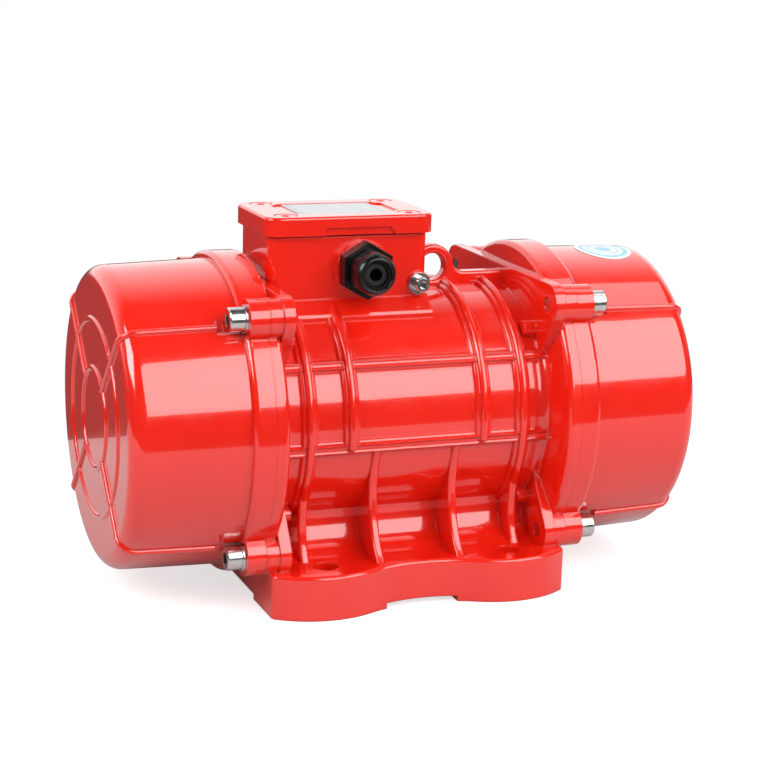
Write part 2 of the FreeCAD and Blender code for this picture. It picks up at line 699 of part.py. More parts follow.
    # foot holes and the relief between the four machined pads
    sketch = new_sketch(body, "foot_hole_circles", "XY_Plane")
    corners(sketch, "hole_spacing_along / 2", "hole_spacing_across / 2", "foot_hole_radius")
    pocket(body, "foot_holes", sketch, "2 * foot_thickness + 2", symmetric=True)
    sketch = new_sketch(body, "relief_outline", "XY_Plane")
    far_x, far_y = "foot_half_length + 2", "foot_lobe_half_width + 2"
    near_x, near_y = "relief_half_length", "relief_half_width"
    outline(sketch, [
        ("-(%s)" % far_x, "-(%s)" % near_y), ("-(%s)" % near_x, "-(%s)" % near_y),
        ("-(%s)" % near_x, "-(%s)" % far_y), (near_x, "-(%s)" % far_y),
        (near_x, "-(%s)" % near_y), (far_x, "-(%s)" % near_y),
        (far_x, near_y), (near_x, near_y), (near_x, far_y),
        ("-(%s)" % near_x, far_y), ("-(%s)" % near_x, near_y), ("-(%s)" % far_x, near_y)])
    pocket(body, "foot_relief_cut", sketch, "foot_relief", reverse=True)

    # tapped holes for the cover screws and the shield screws
    sketch = new_sketch(body, "ear_hole_circles", "YZ_Plane", along="plate_face - 1", up="axis_height")
    corners(sketch, "ear_offset", "ear_offset", "cover_screw_radius + fit")
    ear_holes = pocket(body, "ear_holes", sketch, "half_length - plate_face + 2", reverse=True)
    sketch = new_sketch(body, "shield_hole_circles", "YZ_Plane", along="plate_face + 0.8", up="axis_height")
    corners(sketch, "shield_screw_ring / sqrt(2)", "shield_screw_ring / sqrt(2)", "2.5 + fit")
    shield_holes = pocket(body, "shield_holes", sketch, "8", reverse=True)
    mirror(body, "all_end_holes", [ear_holes, shield_holes], "YZ_Plane")
    return body


# ---------------------------------------------------------------- end covers
EAR = "(ear_offset * sqrt(2))"
SIDES = (("right", False), ("left", True))


def ridge(place):
    """Low round ridge standing on the end face at a given radius."""
    return [("cover_end", "%s + bead_radius" % place, "bead_radius * 1.1", 1),
            ("cover_end", "%s - bead_radius" % place)]


def make_cover(side, left):
    """Cup-shaped cover, drawn with its four screw ears on the sketch axes."""
    body = new_body(side + "_cover")
    turned(body, "cup", [
        ("half_length - 1.4", "recess_radius - 2.1"), ("half_length - 1.4", "recess_radius - fit"),
        ("half_length", "recess_radius - fit"), ("half_length", "flange_radius"),
        ("cover_flange - 3", "flange_radius", "3", 1), ("cover_flange", "flange_radius - 3"),
        ("cover_flange", "cover_radius"), ("cover_end - cover_edge", "cover_end_radius", "cover_edge", 1),
        ("cover_end", "cover_end_radius - cover_edge")]
        + ridge("outer_ring_radius") + ridge("inner_ring_radius") + [
        ("cover_end", "0"), ("cover_end - cover_wall", "0"),
        ("cover_end - cover_wall", "cover_end_radius - cover_edge", "cover_edge - cover_wall", -1),
        ("cover_end - cover_edge", "cover_end_radius - cover_wall"),
        ("cover_flange + 1", "cover_radius - cover_wall"), ("half_length + 5", "recess_radius - 2.1")])
    sketch = new_sketch(body, "ear_outline", "YZ_Plane", along="half_length")
    outline(sketch, [
        ("-(ear_radius)", "recess_radius + 5"), ("ear_radius", "recess_radius + 5"),
        ("ear_radius", EAR, "ear_radius * 1.001", -1), ("-(ear_radius)", EAR)])
    ear = pad(body, "ear", sketch, "cover_ear_face - half_length")
    polar(body, "ears", [ear], 4)
    sketch = new_sketch(body, "bead_section", "XY_Plane", along="inner_ring_radius")
    circle(sketch, "cover_end", "0", "bead_radius")
    path = new_sketch(body, "bead_path", "XZ_Plane")
    outline(path, [
        ("cover_end", "inner_ring_radius"),
        ("cover_end", "cover_end_radius - cover_edge", "cover_edge", -1),
        ("cover_end - cover_edge", "cover_end_radius"),
        ("cover_flange + 6", "cover_radius")], closed=False)
    bead = body.newObject("PartDesign::AdditivePipe", "bead")
    bead.Profile = sketch
    bead.Spine = (path, ["Edge1", "Edge2", "Edge3"])
    bead.Refine = False
    doc.recompute()
    polar(body, "beads", [bead], 4)
    sketch = new_sketch(body, "spot_face_circle", "YZ_Plane", along="cover_ear_face")
    circle(sketch, "0", EAR, "cover_screw_radius + 4.2")
    spot = pocket(body, "spot_face", sketch, "14", reverse=True)
    sketch = new_sketch(body, "screw_hole_circle", "YZ_Plane", along="half_length - 1")
    circle(sketch, "0", EAR, "cover_screw_radius + 0.5")
    hole = pocket(body, "screw_hole", sketch, "12", reverse=True)
    polar(body, "screw_places", [spot, hole], 4)
    return on_axis(body, left, 45)


def make_cover_fittings(side, left):
    body = new_body(side + "_cover_oring")
    sketch = new_sketch(body, "ring_section", "XZ_Plane")
    circle(sketch, "half_length - 1.2", "recess_radius + 6", "1.16")
    spin(body, "ring", sketch)
    on_axis(body, left)
    body = new_body(side + "_cover_washers")
    ring = turned(body, "washer", [
        ("cover_ear_face", "cover_screw_radius + 0.3"), ("cover_ear_face", "cover_screw_radius + 3.5"),
        ("cover_ear_face + 1.6", "cover_screw_radius + 3.5"),
        ("cover_ear_face + 1.6", "cover_screw_radius + 0.3")], EAR)
    polar(body, "washers", [ring], 4)
    on_axis(body, left, 45)
    body = new_body(side + "_cover_screws")
    cap_screw(body, "cover_screw", "(cover_ear_face + 1.6)", EAR, "cover_screw_radius", "24.5",
              "(cover_screw_radius + 2.5)", "8", "6", 4)
    on_axis(body, left, 45)


# ---------------------------------------------------------------- bearing shields and bearings
def make_shield(side, left):
    body = new_body(side + "_bearing_shield")
    seat = "bearing_outside + fit"
    face = "bearing_place + bearing_width"
    turned(body, "disc", [
        ("bearing_place - 3", "bearing_outside - 4"), ("bearing_place - 3", "bearing_outside + 7"),
        ("bearing_place + 6", "bearing_outside + 11"), ("bearing_place + 10", "bearing_outside + 15"),
        ("bearing_place + 10", "spigot_radius - 6"), ("shield_seat - 14", "spigot_radius - 6"),
        ("shield_seat - 14", "spigot_radius - fit"), ("shield_seat", "spigot_radius - fit"),
        ("shield_seat", "recess_radius - 0.4"), ("half_length - 1.6", "recess_radius - 0.4"),
        ("half_length - 1.6", "spigot_radius - 3"), (face, "spigot_radius - 9"), (face, seat),
        ("bearing_place", seat), ("bearing_place", "bearing_outside - 4")])
    sketch = new_sketch(body, "screw_hole_circle", "YZ_Plane", along="shield_seat - 1")
    circle(sketch, "0", "shield_screw_ring", "2.75")
    hole = pocket(body, "screw_hole", sketch, "9", reverse=True)
    polar(body, "screw_holes", [hole], 4)
    sketch = new_sketch(body, "cap_hole_circle", "YZ_Plane", along="bearing_place + 7")
    circle(sketch, "0", "bearing_outside + 4.6", "2 + fit")
    hole = pocket(body, "cap_hole", sketch, "12", reverse=True)
    polar(body, "cap_holes", [hole], 4)
    on_axis(body, left, 45)

    body = new_body(side + "_shield_screws")
    cap_screw(body, "shield_screw", "(half_length - 1.6)", "shield_screw_ring", "2.5", "10", "4.25", "5", "4",
              4)
    on_axis(body, left, 45)

    body = new_body(side + "_bearing_cap")
    turned(body, "cap", [
        (face, "bearing_outside - 4.5"), (face, "bearing_outside + 9"),
        (face + " + 5", "bearing_outside + 9"),
        (face + " + 5", "bearing_bore + 1"), (face + " + 2.4", "bearing_bore + 1"),
        (face + " + 2.4", "bearing_outside - 4.5")])
    sketch = new_sketch(body, "cap_hole_circle", "YZ_Plane", along=face + " - 1")
    circle(sketch, "0", "bearing_outside + 4.6", "2.2")
    hole = pocket(body, "cap_hole", sketch, "8", reverse=True)
    polar(body, "cap_holes", [hole], 4)
    on_axis(body, left, 45)

    body = new_body(side + "_bearing_cap_screws")
    cap_screw(body, "cap_screw", "(%s + 5)" % face, "bearing_outside + 4.6", "2", "12", "3.5", "3.6", "3", 4)
    on_axis(body, left, 45)


def make_bearing(side, left):
    inner, outer = "bearing_place", "bearing_place + bearing_width"
    middle = "bearing_place + bearing_width / 2"
    groove = "ball_radius * 1.03"
    chord = "ball_radius * 0.62"
    land = "ball_radius * 0.82"
    revolved(side + "_bearing_outer_ring", [
        (inner, "ball_pitch_radius + %s" % land), (inner, "bearing_outside"), (outer, "bearing_outside"),
        (outer, "ball_pitch_radius + %s" % land),
        ("%s + %s" % (middle, chord), "ball_pitch_radius + %s" % land, groove, -1),
        ("%s - %s" % (middle, chord), "ball_pitch_radius + %s" % land)], left)
    revolved(side + "_bearing_inner_ring", [
        (inner, "bearing_bore"), (inner, "ball_pitch_radius - %s" % land),
        ("%s - %s" % (middle, chord), "ball_pitch_radius - %s" % land, groove, -1),
        ("%s + %s" % (middle, chord), "ball_pitch_radius - %s" % land),
        (outer, "ball_pitch_radius - %s" % land),
        (outer, "bearing_bore")], left)
    body = new_body(side + "_bearing_balls")
    ball = turned(body, "ball", [
        ("%s - ball_radius" % middle, "0", "ball_radius", 1), (middle, "ball_radius", "ball_radius", 1),
        ("%s + ball_radius" % middle, "0")], "ball_pitch_radius")
    polar(body, "balls", [ball], 7)
    on_axis(body, left)
    body = new_body(side + "_bearing_cage")
    turned(body, "ring", [
        (middle + " - 6.9", "ball_pitch_radius - 1.3"), (middle + " - 6.9", "ball_pitch_radius + 1.3"),
        (middle + " + 6.9", "ball_pitch_radius + 1.3"), (middle + " + 6.9", "ball_pitch_radius - 1.3")])
    hollow = turned(body, "ball_seat", [
        ("%s - ball_radius - 0.15" % middle, "0", "ball_radius + 0.15", 1),
        (middle, "ball_radius + 0.15", "ball_radius + 0.15", 1),
        ("%s + ball_radius + 0.15" % middle, "0")], "ball_pitch_radius", kind="PartDesign::Groove")
    polar(body, "ball_seats", [hollow], 7)
    on_axis(body, left)


# ---------------------------------------------------------------- motor and shaft line
def make_electrical():
    half = "stator_half_length"
    body = new_body("stator_core")
    turned(body, "stack", [
        ("-(%s)" % half, "rotor_radius + air_gap"), ("-(%s)" % half, "stator_radius - fit"),
        (half, "stator_radius - fit"), (half, "rotor_radius + air_gap")])
    sketch = new_sketch(body, "slot_outline", "YZ_Plane")
    outline(sketch, [
        ("-1.2", "rotor_radius - 1"), ("1.2", "rotor_radius - 1"), ("1.2", "rotor_radius + 3"),
        ("2.8", "rotor_radius + 5"), ("3.6", "stator_radius - 9"), ("-3.6", "stator_radius - 9"),
        ("-2.8", "rotor_radius + 5"), ("-1.2", "rotor_radius + 3")])
    slot = pocket(body, "slot", sketch, "2 * stator_half_length + 4", symmetric=True)
    polar(body, "slots", [slot], 18)
    on_axis(body)

    body = new_body("stator_windings")
    for side, sign in (("right", ""), ("left", "-")):
        turned(body, side + "_coil_ends", [
            (sign + "(%s + 0.1)" % half, "rotor_radius + 5"),
            (sign + "(%s + 14)" % half, "rotor_radius + 5"),
            (sign + "(%s + 17)" % half, "rotor_radius + 9"),
            (sign + "(%s + 17)" % half, "stator_radius - 9"),
            (sign + "(%s + 13)" % half, "stator_radius - 5"),
            (sign + "(%s + 0.1)" % half, "stator_radius - 7")])
    sketch = new_sketch(body, "coil_outline", "YZ_Plane")
    outline(sketch, [
        ("-2.6", "rotor_radius + 5.4"), ("2.6", "rotor_radius + 5.4"), ("3.4", "stator_radius - 9.2"),
        ("-3.4", "stator_radius - 9.2")])
    coil = pad(body, "coil", sketch, "2 * stator_half_length + 2", symmetric=True)
    polar(body, "coils", [coil], 18)
    on_axis(body)

    body = new_body("rotor_core")
    turned(body, "stack", [
        ("-(%s)" % half, "rotor_bore + fit"), ("-(%s)" % half, "rotor_radius"), (half, "rotor_radius"),
        (half, "rotor_bore + fit")])
    sketch = new_sketch(body, "bar_hole_circle", "YZ_Plane")
    circle(sketch, "0", "rotor_radius - 4.2", "2.6")
    hole = pocket(body, "bar_hole", sketch, "2 * stator_half_length + 4", symmetric=True)
    polar(body, "bar_holes", [hole], 14)
    on_axis(body)

    body = new_body("rotor_cage")
    for side, sign in (("right", ""), ("left", "-")):
        turned(body, side + "_cage_ring", [
            (sign + "(%s)" % half, "rotor_radius - 10"), (sign + "(%s)" % half, "rotor_radius - 1"),
            (sign + "(%s + 6)" % half, "rotor_radius - 2"),
            (sign + "(%s + 6)" % half, "rotor_radius - 9")])
    sketch = new_sketch(body, "bar_circle", "YZ_Plane")
    circle(sketch, "0", "rotor_radius - 4.2", "2.55")
    bar = pad(body, "bar", sketch, "2 * stator_half_length + 2", symmetric=True)
    polar(body, "bars", [bar], 14)
    on_axis(body)


def make_shaft():
    body = new_body("shaft")
    groove_place = "bearing_place + bearing_width"
    end_groove = "shaft_end - 3"
    turned(body, "bar", mirrored([
        ("-(shaft_end)", "0"), ("-(shaft_end)", "weight_seat_radius - 1"),
        ("-(shaft_end - 1)", "weight_seat_radius"), ("-(%s + 1.3)" % end_groove, "weight_seat_radius"),
        ("-(%s + 1.3)" % end_groove, "weight_seat_radius - 0.8"),
        ("-(%s)" % end_groove, "weight_seat_radius - 0.8"),
        ("-(%s)" % end_groove, "weight_seat_radius"), ("-(%s + 5)" % groove_place, "weight_seat_radius"),
        ("-(%s + 5)" % groove_place, "bearing_bore - fit"),
        ("-(%s + 1.4)" % groove_place, "bearing_bore - fit"),
        ("-(%s + 1.4)" % groove_place, "bearing_bore - 0.9"),
        ("-(%s)" % groove_place, "bearing_bore - 0.9"),
        ("-(%s)" % groove_place, "bearing_bore - fit"), ("-(bearing_place)", "bearing_bore - fit"),
        ("-(bearing_place)", "bearing_bore + 3"), ("-(stator_half_length + 8)", "bearing_bore + 3"),
        ("-(stator_half_length + 8)", "rotor_bore")]))
    sketch = new_sketch(body, "keyway_outline", "XZ_Plane")
    outline(sketch, [
        ("weight_place + 1", "-(weight_seat_radius - 3.5)"), ("weight_place + weight_thickness - 1",
                                                              "-(weight_seat_radius - 3.5)"),
        ("weight_place + weight_thickness - 1", "-(weight_seat_radius + 2)"),
        ("weight_place + 1", "-(weight_seat_radius + 2)")])
    slot = pocket(body, "keyway", sketch, "6.04", symmetric=True)
    mirror(body, "keyways", [slot], "YZ_Plane")
    on_axis(body)

    for side, left in SIDES:
        revolved(side + "_bearing_circlip", [
            (groove_place + " + 0.1", "bearing_bore - 0.8"),
            (groove_place + " + 0.1", "bearing_bore + 2.2"),
            (groove_place + " + 1.3", "bearing_bore + 2.2"),
            (groove_place + " + 1.3", "bearing_bore - 0.8")], left)
        revolved(side + "_shaft_circlip", [
            (end_groove + " + 0.1", "weight_seat_radius - 0.7"),
            (end_groove + " + 0.1", "weight_seat_radius + 2.2"),
            (end_groove + " + 1.2", "weight_seat_radius + 2.2"),
            (end_groove + " + 1.2", "weight_seat_radius - 0.7")],
            left)
        body = new_body(side + "_weight_key")
        sketch = new_sketch(body, "key_outline", "XZ_Plane")
        outline(sketch, [
            ("weight_place + 1.1", "-(weight_seat_radius - 3.45)"),
            ("weight_place + weight_thickness - 1.1", "-(weight_seat_radius - 3.45)"),
            ("weight_place + weight_thickness - 1.1", "-(weight_seat_radius + 2.5)"),
            ("weight_place + 1.1", "-(weight_seat_radius + 2.5)")])
        pad(body, "key_block", sketch, "6", symmetric=True)
        on_axis(body, left)


def make_weight(side, left, kind, place, keyed):
    """Half-disc weight with a split clamp hub and its clamp bolt."""
    body = new_body("%s_%s_weight" % (side, kind))
    hub, reach = "weight_hub_radius", "weight_radius"
    sketch = new_sketch(body, "weight_outline", "YZ_Plane", along=place)
    outline(sketch, [
        ("-(%s) * 0.985" % reach, "-(%s) * 0.1725" % reach, reach, -1),
        ("%s * 0.985" % reach, "-(%s) * 0.1725" % reach), ("%s * 0.985" % reach, "-4"), (hub, "-4"),
        (hub, "6"),
        ("14", "14"), ("14", "%s + 9" % hub), ("-14", "%s + 9" % hub), ("-14", "14"),
        ("-(%s)" % hub, "6"),
        ("-(%s)" % hub, "-4"), ("-(%s) * 0.985" % reach, "-4")])
    pad(body, "half_disc", sketch, "weight_thickness")
    sketch = new_sketch(body, "bore_circle", "YZ_Plane", along=place + " - 1")
    circle(sketch, "0", "0", "weight_seat_radius + fit")
    pocket(body, "bore", sketch, "weight_thickness + 2", reverse=True)
    sketch = new_sketch(body, "slit_outline", "YZ_Plane", along=place + " - 1")
    outline(sketch, [("-1.25", "5"), ("1.25", "5"), ("1.25", "%s + 10" % hub), ("-1.25", "%s + 10" % hub)])
    pocket(body, "slit", sketch, "weight_thickness + 2", reverse=True)
    if keyed:
        sketch = new_sketch(body, "keyway_outline", "YZ_Plane", along=place + " - 1")
        outline(sketch, [("-3.02", "-5"), ("-3.02", "-(weight_seat_radius + 2.55)"),
                         ("3.02", "-(weight_seat_radius + 2.55)"), ("3.02", "-5")])
        pocket(body, "keyway", sketch, "weight_thickness + 2", reverse=True)
    sketch = new_sketch(body, "bolt_hole_circle", "XZ_Plane")
    circle(sketch, place + " + weight_thickness / 2", hub, "weight_bolt_radius + fit")
    pocket(body, "bolt_hole", sketch, "40", symmetric=True)
    on_axis(body, left)

    body = new_body("%s_%s_weight_bolt" % (side, kind))
    sketch = new_sketch(body, "shank_circle", "XZ_Plane", along="14")
    circle(sketch, place + " + weight_thickness / 2", hub, "weight_bolt_radius")
    pad(body, "shank", sketch, "28", reverse=True)
    sketch = new_sketch(body, "head_circle", "XZ_Plane", along="14")
    circle(sketch, place + " + weight_thickness / 2", hub, "weight_bolt_radius + 2.5")
    pad(body, "head", sketch, "8")
    sketch = new_sketch(body, "socket_outline", "XZ_Plane", along="22")
    hexagon(sketch, place + " + weight_thickness / 2", hub, "6")
    pocket(body, "socket", sketch, "4")
    on_axis(body, left)


# ---------------------------------------------------------------- terminal box fittings
def make_lid():
    under = "box_rim + gasket_thickness"
    top = under + " + lid_thickness"
    body = new_body("terminal_lid")
    sketch = new_sketch(body, "lid_outline", "XY_Plane", along=under)
    rounded_box(sketch, "box_place", "lid_half_length", "lid_half_width", "box_corner + 1.5")
    pad(body, "slab", sketch, "lid_thickness")
    fillet(body, "lid_rim", "1.6", lambda edge: near(level(edge, "z"), top))
    sketch = new_sketch(body, "front_step_outline", "XZ_Plane", along="lid_half_width")
    outline(sketch, [
        ("box_place - 15", under), ("box_place + 24", under), ("box_place + 24", under + " + 2", "2", 1),
        ("box_place + 22", under + " + 4"), ("box_place - 15", under + " + 4")])
    pocket(body, "front_step", sketch, "1.2")
    sketch = new_sketch(body, "hollow_outline", "XY_Plane", along=under)
    rounded_box(sketch, "box_place", "box_half_length - box_wall - 9", "box_half_width - box_wall - 1", "3")
    pocket(body, "hollow", sketch, "lid_thickness - 4.5", reverse=True)
    sketch = new_sketch(body, "plate_recess_outline", "XY_Plane", along=top, right="box_place")
    along, across = "recess_half_length", "recess_half_width"
    notch_x = "(lid_screw_along - sqrt((lid_screw_radius + 5.9) ^ 2 - (lid_screw_across - %s) ^ 2))" % across
    notch_y = "(lid_screw_across - sqrt((lid_screw_radius + 5.9) ^ 2 - (lid_screw_along - %s) ^ 2))" % along
    outline(sketch, four_sided([
        ("-(%s)" % along, "-(%s)" % notch_y, "lid_screw_radius + 5.9", 1),
        ("-(%s)" % notch_x, "-(%s)" % across)]))
    pocket(body, "plate_recess", sketch, "0.8")
    sketch = new_sketch(body, "counterbore_circles", "XY_Plane", along=top, right="box_place")
    corners(sketch, "lid_screw_along", "lid_screw_across", "lid_screw_radius + 3.9")
    pocket(body, "counterbores", sketch, "6")
    sketch = new_sketch(body, "screw_hole_circles", "XY_Plane", along=top, right="box_place")
    corners(sketch, "lid_screw_along", "lid_screw_across", "lid_screw_radius + 0.3")
    pocket(body, "screw_holes", sketch, "lid_thickness + 1")

    body = new_body("lid_gasket")
    sketch = new_sketch(body, "gasket_outline", "XY_Plane", along="box_rim")
    rounded_box(sketch, "box_place", "box_half_length - 0.5", "box_half_width - 0.5", "box_corner - 0.5")
    pad(body, "sheet", sketch, "gasket_thickness")
    sketch = new_sketch(body, "window_outline", "XY_Plane", along="box_rim")
    rounded_box(sketch, "box_place", "box_half_length - box_wall - 9", "box_half_width - box_wall - 1", "3")
    pocket(body, "window", sketch, "gasket_thickness", reverse=True)
    sketch = new_sketch(body, "screw_hole_circles", "XY_Plane", along="box_rim", right="box_place")
    corners(sketch, "lid_screw_along", "lid_screw_across", "lid_screw_radius + 0.3")
    pocket(body, "screw_holes", sketch, "gasket_thickness", reverse=True)

    body = new_body("lid_screws")
    seat = "(%s + lid_thickness - 6)" % under
    for name, radius, low, high in (
            ("shanks", "lid_screw_radius", seat + " - 14", seat),
            ("heads", "lid_screw_radius + 2", seat, seat + " + 5")):
        sketch = new_sketch(body, name + "_circles", "XY_Plane", along=low, right="box_place")
        corners(sketch, "lid_screw_along", "lid_screw_across", radius)
        pad(body, name, sketch, "%s - (%s)" % (high, low))
    for index, (along, across) in enumerate((("", ""), ("", "-"), ("-", ""), ("-", "-"))):
        sketch = new_sketch(body, "socket_outline_%d" % index, "XY_Plane", along=seat + " + 5",
                            right="box_place")
        hexagon(sketch, along + "lid_screw_along", across + "lid_screw_across", "4")
        pocket(body, "socket_%d" % index, sketch, "2.6")

    body = new_body("data_plate")
    sketch = new_sketch(body, "plate_outline", "XY_Plane", along=under + " + lid_thickness - 0.8")
    rounded_box(sketch, "box_place", "recess_half_length - 7", "recess_half_width - 1", "1.6")
    pad(body, "sheet", sketch, "0.6")


def make_terminals():
    floor = "box_floor"
    places = [("box_place - 16 + 13 * %d - 6" % column, "%d" % row) for column in range(3) for row in (-7, 7)]
    body = new_body("terminal_block")
    sketch = new_sketch(body, "block_outline", "XY_Plane", along=floor)
    rounded_box(sketch, "box_place - 9", "23", "13", "2")
    pad(body, "block", sketch, "9")
    sketch = new_sketch(body, "stud_circles", "XY_Plane", along=floor + " + 3")
    for across, up in places:
        circle(sketch, across, up, "2.03")
    pocket(body, "stud_holes", sketch, "7", reverse=True)

    body = new_body("terminal_studs")
    sketch = new_sketch(body, "stud_circles", "XY_Plane", along=floor + " + 3.05")
    for across, up in places:
        circle(sketch, across, up, "2")
    pad(body, "studs", sketch, "17")

    body = new_body("terminal_nuts")
    sketch = new_sketch(body, "nut_outlines", "XY_Plane", along=floor + " + 9")
    for across, up in places:
        hexagon(sketch, across, up, "7")
    pad(body, "nuts", sketch, "3.2")
    sketch = new_sketch(body, "nut_bore_circles", "XY_Plane", along=floor + " + 8")
    for across, up in places:
        circle(sketch, across, up, "2.03")
    pocket(body, "nut_bores", sketch, "6", reverse=True)


# ---------------------------------------------------------------- cable gland and earth screw
def facing_front(body, place, height):
    """Point a piece drawn along +X towards -Y, at a place on the front wall."""
    body.Placement = FreeCAD.Placement(Vector(0, 0, 0), FreeCAD.Rotation(Vector(0, 0, 1), -90))
    bind(body, "Placement.Base.x", place)
    bind(body, "Placement.Base.z", height)
    doc.recompute()
    return body


def make_gland():
    """Cable gland; its bores and clearances follow from the entry thread."""
    wall = "box_half_width + 1.5"
    thread, outside = "gland_thread_radius", "gland_across_flats / 2"
    body = new_body("gland_body")
    turned(body, "sleeve", [
        (wall + " - 9.5", thread + " - 3"), (wall + " - 9.5", thread + " - 1"),
        (wall + " - 8.5", thread + " - fit"),
        (wall, thread + " - fit"), (wall, outside), (wall + " + 8", outside),
        (wall + " + 8", thread + " - 1"), (wall + " + 15", thread + " - 1"),
        (wall + " + 15", thread + " - 2.4"),
        (wall + " + 8", thread + " - 2.4"), (wall + " + 8", thread + " - 3")])
    sketch = new_sketch(body, "hexagon_outline", "YZ_Plane", along=wall)
    hexagon(sketch, "0", "0", "gland_across_flats + 3", 30)
    pad(body, "hexagon", sketch, "8")
    sketch = new_sketch(body, "passage_circle", "YZ_Plane", along=wall + " - 1")
    circle(sketch, "0", "0", thread + " - 3")
    pocket(body, "passage", sketch, "10", reverse=True)
    facing_front(body, "gland_place", "gland_height")

    body = new_body("gland_seal")
    turned(body, "bush", [
        (wall + " + 8.2", "cable_radius"), (wall + " + 8.2", thread + " - 2.6"),
        (wall + " + 17", thread + " - 2.6"),
        (wall + " + 19", thread + " - 4"), (wall + " + 19", "cable_radius")])
    facing_front(body, "gland_place", "gland_height")

    body = new_body("gland_nut")
    turned(body, "cap", [
        (wall + " + 8.4", thread + " - 0.9"), (wall + " + 8.4", outside),
        (wall + " + 17", outside, "7", 1),
        (wall + " + 22.5", outside + " - 4.6"), (wall + " + 22.5", "cable_radius + 0.6"),
        (wall + " + 19.4", "cable_radius + 0.6"), (wall + " + 19.4", thread + " - 3.8"),
        (wall + " + 17.2", thread + " - 2.3"), (wall + " + 15.2", thread + " - 2.3"),
        (wall + " + 15.2", thread + " - 0.9")])
    facing_front(body, "gland_place", "gland_height")


def make_earth():
    wall = "box_half_width + 0.8"
    body = new_body("earth_washer")
    turned(body, "washer", [(wall, "2.7"), (wall, "6"), (wall + " + 1.2", "6"), (wall + " + 1.2", "2.7")])
    facing_front(body, "earth_place", "earth_height")
    body = new_body("earth_screw")
    cap_screw(body, "screw", "(%s + 1.2)" % wall, "0", "2.47", "8", "4.25", "5", "4", 1)
    facing_front(body, "earth_place", "earth_height")


def make_sticker():
    """Thin round label that follows the curve of the right-hand cover."""
    body = new_body("cover_sticker")
    inner, outer = "cover_end - 43", "cover_end - 5"
    slope = "(cover_radius - cover_end_radius) / (cover_end - cover_edge - cover_flange)"
    radii = ["cover_radius - (%s - cover_flange) * %s" % (place, slope) for place in (inner, outer)]
    turned(body, "band", [
        (inner, radii[0] + " + 0.06"), (inner, radii[0] + " + 0.3"),
        ("cover_end - cover_edge", "cover_end_radius + 0.3"),
        ("cover_end - cover_edge", "cover_end_radius + 0.06")],
        angle="44")
    sketch = new_sketch(body, "trim_outline", "XY_Plane")
    outline(sketch, [("cover_flange", "-60"), ("cover_end + 10", "-60"), ("cover_end + 10", "60"),
                     ("cover_flange", "60")])
    circle(sketch, "cover_end - 25.5", "-6", "16.5")
    pocket(body, "trim", sketch, "2 * flange_radius", reverse=True)
    on_axis(body)


make_housing()
for side, left in SIDES:
    make_cover(side, left)
    make_cover_fittings(side, left)
    make_shield(side, left)
    make_bearing(side, left)
    make_weight(side, left, "fixed", "weight_place", True)
    make_weight(side, left, "adjustable", "(weight_place + weight_thickness + 1)", False)
make_electrical()
make_shaft()
make_lid()
make_terminals()
make_gland()
make_earth()
make_sticker()

# ---------------------------------------------------------------- check and write
broken = [item.Label for item in doc.Objects if "Invalid" in item.State or "Error" in item.State]
if broken:
    raise RuntimeError("failed to build: " + ", ".join(broken))
os.makedirs("parts", exist_ok=True)
for piece in parts:
    if piece.Shape.isNull() or not piece.Shape.isValid():
        raise RuntimeError("%s has no valid shape" % piece.Label)
    piece.Shape.exportStep("parts/%s.step" % piece.Label)
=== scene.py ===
"""Looks of the foot-mounted vibration motor: paint, metals, plastics, label, light and camera."""

import json
import math

import bmesh
import bpy
from mathutils import Matrix, Vector


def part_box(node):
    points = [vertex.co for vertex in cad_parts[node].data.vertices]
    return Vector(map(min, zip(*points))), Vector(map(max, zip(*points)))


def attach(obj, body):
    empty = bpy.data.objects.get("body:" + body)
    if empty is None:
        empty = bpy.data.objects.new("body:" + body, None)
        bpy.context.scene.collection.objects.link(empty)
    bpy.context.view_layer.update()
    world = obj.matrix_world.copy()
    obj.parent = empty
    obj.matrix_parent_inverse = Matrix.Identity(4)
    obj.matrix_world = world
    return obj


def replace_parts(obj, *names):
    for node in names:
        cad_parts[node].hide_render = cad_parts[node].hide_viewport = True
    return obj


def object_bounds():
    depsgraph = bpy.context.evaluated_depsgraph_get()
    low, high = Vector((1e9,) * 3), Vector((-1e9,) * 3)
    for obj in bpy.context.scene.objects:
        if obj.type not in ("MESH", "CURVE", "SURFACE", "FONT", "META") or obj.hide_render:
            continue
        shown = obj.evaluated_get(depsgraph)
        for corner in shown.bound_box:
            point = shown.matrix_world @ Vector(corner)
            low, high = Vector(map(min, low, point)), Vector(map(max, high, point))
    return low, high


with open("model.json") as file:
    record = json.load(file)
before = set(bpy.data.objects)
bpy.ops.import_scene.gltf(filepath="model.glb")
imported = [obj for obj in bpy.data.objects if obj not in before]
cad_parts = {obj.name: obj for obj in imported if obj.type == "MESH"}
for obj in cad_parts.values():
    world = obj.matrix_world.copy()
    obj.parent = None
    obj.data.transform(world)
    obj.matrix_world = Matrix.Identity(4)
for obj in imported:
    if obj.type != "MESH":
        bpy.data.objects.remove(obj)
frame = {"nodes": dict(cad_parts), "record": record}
cad_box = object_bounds()
nodes = frame["nodes"]
scene = bpy.context.scene

# camera: place in metres, direction in degrees, focal length and sensor width in millimetres
CAMERA_PLACE = Vector((-0.38766, -0.99705, 0.36013))
CAMERA_YAW = 21.495
CAMERA_PITCH = 13.486
CAMERA_ROLL = 1.686
CAMERA_LENS = 92.1
SENSOR_WIDTH = 36.0

# lamps: direction in degrees, distance and size in metres; all of them look at one point
LAMP_TARGET = Vector((0.0, 0.0, 0.1))
SOFTBOXES = (
    dict(name="key_softbox", azimuth=30.0, elevation=33.5, distance=1.5,
         width=1.6, height=1.06, radiance=3.8),
    dict(name="right_softbox", azimuth=90.0, elevation=58.0, distance=1.6,
         width=0.6, height=0.3, radiance=1.8),
    dict(name="left_fill", azimuth=-78.0, elevation=34.0, distance=1.6,
         width=0.8, height=0.8, radiance=7.0),
)

